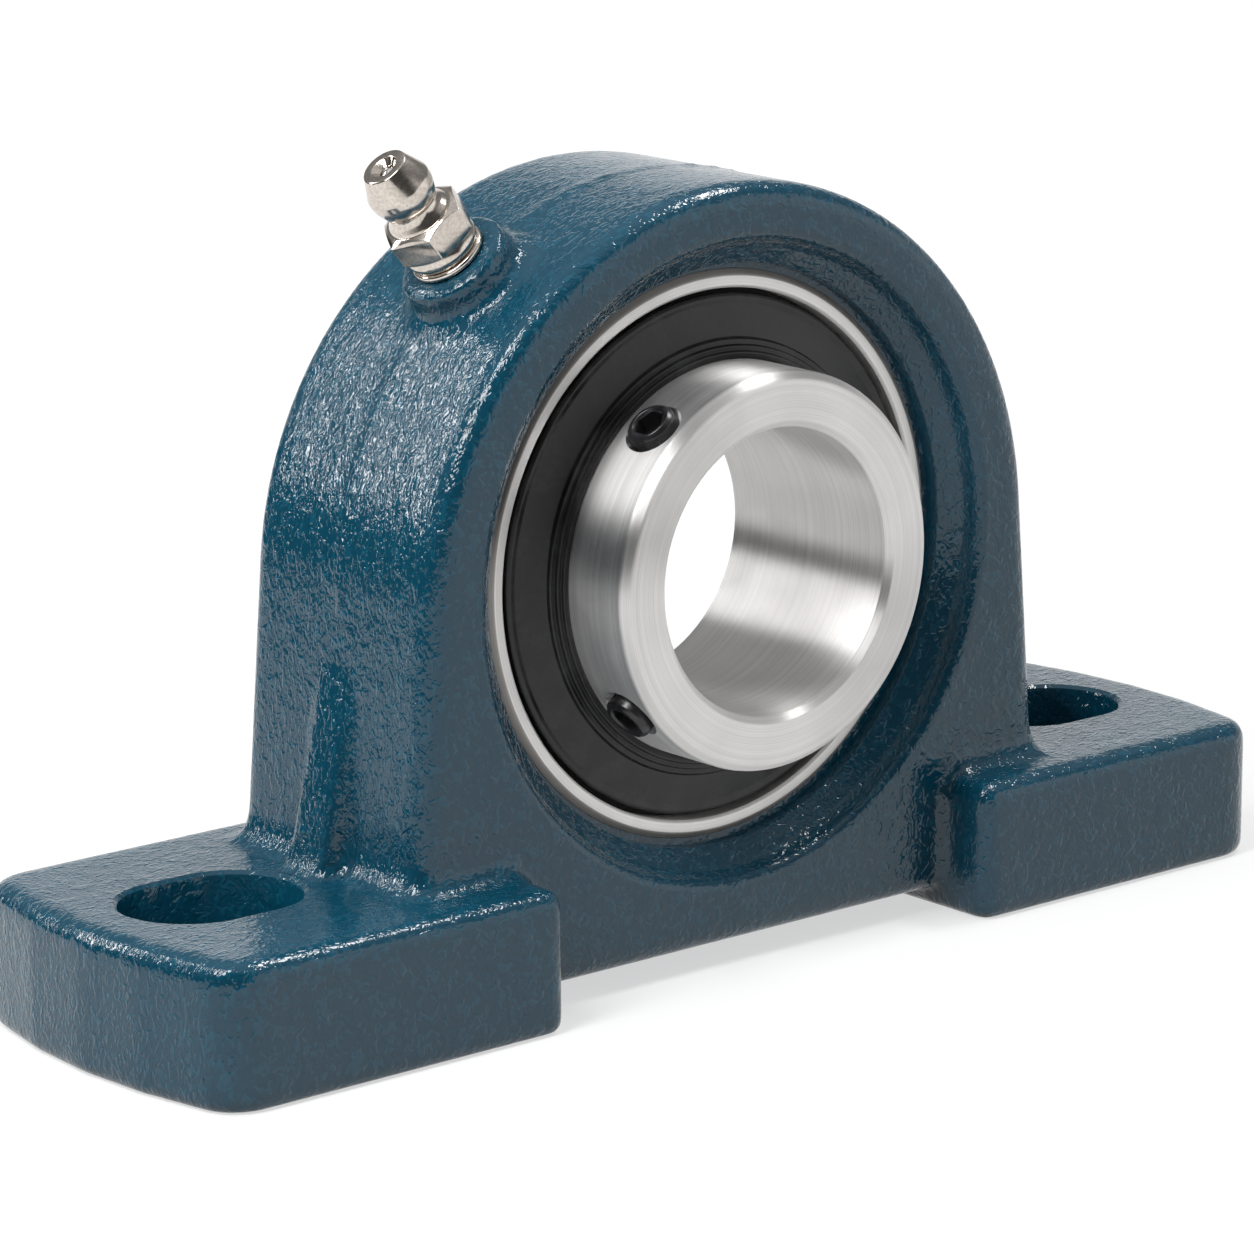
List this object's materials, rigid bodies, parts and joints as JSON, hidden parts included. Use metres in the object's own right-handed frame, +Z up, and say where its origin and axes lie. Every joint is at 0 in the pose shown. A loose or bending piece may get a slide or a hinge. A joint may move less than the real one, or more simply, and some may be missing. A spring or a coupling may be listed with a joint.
{
  "type": "pillow block bearing",
  "caption": "Two-bolt cast pillow block with a self-aligning ball bearing insert, set screws in its extended inner ring, bolt slots in its feet and an angled grease nipple.",
  "frame": {"origin": "centre of the housing's spherical seat, on the shaft axis", "axes": "+X along the base, +Y along the shaft from the set-screw side to the back, +Z up from the base"},
  "size_m": [0.1712, 0.0496, 0.1018],
  "materials": {
    "painted_casting": "glossy teal-blue enamel over a rough sand-cast skin",
    "bearing_steel": "ground",
    "ground_steel": "turned and ground, fine rings",
    "black_shield": "satin black",
    "black_screw": "black oxide",
    "seal_rubber": "matt moulded",
    "cage_steel": "pressed sheet",
    "ball_steel": "polished",
    "nipple_metal": "turned, nickel plated",
    "spring_wire": "drawn wire"
  },
  "bodies": {
    "block": {"housing": "painted_casting", "nipple_washer": "nipple_metal", "nipple_body": "nipple_metal"},
    "pin": {"locating_pin": "bearing_steel"},
    "outer": {"outer_ring": "bearing_steel", "seal_front": "seal_rubber", "seal_rear": "seal_rubber"},
    "inner": {"inner_ring": "ground_steel", "slinger_front": "black_shield"},
    "cage": {"cage_front": "cage_steel", "cage_rear": "cage_steel", "cage_rivets": "cage_steel"},
    "ball_1": {"ball_1": "ball_steel"},
    "ball_2": {"ball_2": "ball_steel"},
    "ball_3": {"ball_3": "ball_steel"},
    "ball_4": {"ball_4": "ball_steel"},
    "ball_5": {"ball_5": "ball_steel"},
    "ball_6": {"ball_6": "ball_steel"},
    "ball_7": {"ball_7": "ball_steel"},
    "ball_8": {"ball_8": "ball_steel"},
    "ball_9": {"ball_9": "ball_steel"},
    "ball_10": {"ball_10": "ball_steel"},
    "screw_1": {"set_screw_1": "black_screw"},
    "screw_2": {"set_screw_2": "black_screw"},
    "check_ball": {"nipple_ball": "ball_steel", "nipple_spring": "spring_wire"}
  },
  "joints": [
    {"name": "align_tilt", "type": "hinge", "parent": "block", "child": "pin", "pos_m": [0, 0, 0], "axis": [1, 0, 0], "range_deg": [-2.5, 2.5]},
    {"name": "align_swivel", "type": "hinge", "parent": "pin", "child": "outer", "pos_m": [0, 0, 0], "axis": [0, 0, 1], "range_deg": [-2.5, 2.5]},
    {"name": "inner_spin", "type": "hinge", "parent": "outer", "child": "inner", "pos_m": [0, 0, 0], "axis": [0, 1, 0], "continuous": true},
    {"name": "cage_spin", "type": "hinge", "parent": "outer", "child": "cage", "pos_m": [0, 0, 0], "axis": [0, 1, 0], "continuous": true},
    {"name": "ball_1_spin", "type": "hinge", "parent": "cage", "child": "ball_1", "pos_m": [0, 0, 0.0276], "axis": [0, 1, 0], "continuous": true},
    {"name": "ball_2_spin", "type": "hinge", "parent": "cage", "child": "ball_2", "pos_m": [-0.01622, 0, 0.02233], "axis": [0, 1, 0], "continuous": true},
    {"name": "ball_3_spin", "type": "hinge", "parent": "cage", "child": "ball_3", "pos_m": [-0.02625, 0, 0.00853], "axis": [0, 1, 0], "continuous": true},
    {"name": "ball_4_spin", "type": "hinge", "parent": "cage", "child": "ball_4", "pos_m": [-0.02625, 0, -0.00853], "axis": [0, 1, 0], "continuous": true},
    {"name": "ball_5_spin", "type": "hinge", "parent": "cage", "child": "ball_5", "pos_m": [-0.01622, 0, -0.02233], "axis": [0, 1, 0], "continuous": true},
    {"name": "ball_6_spin", "type": "hinge", "parent": "cage", "child": "ball_6", "pos_m": [0, 0, -0.0276], "axis": [0, 1, 0], "continuous": true},
    {"name": "ball_7_spin", "type": "hinge", "parent": "cage", "child": "ball_7", "pos_m": [0.01622, 0, -0.02233], "axis": [0, 1, 0], "continuous": true},
    {"name": "ball_8_spin", "type": "hinge", "parent": "cage", "child": "ball_8", "pos_m": [0.02625, 0, -0.00853], "axis": [0, 1, 0], "continuous": true},
    {"name": "ball_9_spin", "type": "hinge", "parent": "cage", "child": "ball_9", "pos_m": [0.02625, 0, 0.00853], "axis": [0, 1, 0], "continuous": true},
    {"name": "ball_10_spin", "type": "hinge", "parent": "cage", "child": "ball_10", "pos_m": [0.01622, 0, 0.02233], "axis": [0, 1, 0], "continuous": true},
    {"name": "screw_1_travel", "type": "slide", "parent": "inner", "child": "screw_1", "axis": [0.6293, 0, -0.7771], "range_m": [-0.002, 0.001]},
    {"name": "screw_2_travel", "type": "slide", "parent": "inner", "child": "screw_2", "axis": [0.7771, 0, 0.6293], "range_m": [-0.002, 0.001]},
    {"name": "check_ball_travel", "type": "slide", "parent": "block", "child": "check_ball", "axis": [0.6361, 0, -0.7716], "range_m": [0, 0.001], "stiffness_N_per_m": 200, "springref_m": -0.001}
  ],
  "couplings": [
    {"joint": "cage_spin", "follows": "inner_spin", "ratio": 0.41395},
    {"joint": "ball_1_spin", "follows": "inner_spin", "ratio": -2.8192},
    {"joint": "ball_2_spin", "follows": "inner_spin", "ratio": -2.8192},
    {"joint": "ball_3_spin", "follows": "inner_spin", "ratio": -2.8192},
    {"joint": "ball_4_spin", "follows": "inner_spin", "ratio": -2.8192},
    {"joint": "ball_5_spin", "follows": "inner_spin", "ratio": -2.8192},
    {"joint": "ball_6_spin", "follows": "inner_spin", "ratio": -2.8192},
    {"joint": "ball_7_spin", "follows": "inner_spin", "ratio": -2.8192},
    {"joint": "ball_8_spin", "follows": "inner_spin", "ratio": -2.8192},
    {"joint": "ball_9_spin", "follows": "inner_spin", "ratio": -2.8192},
    {"joint": "ball_10_spin", "follows": "inner_spin", "ratio": -2.8192}
  ]
}
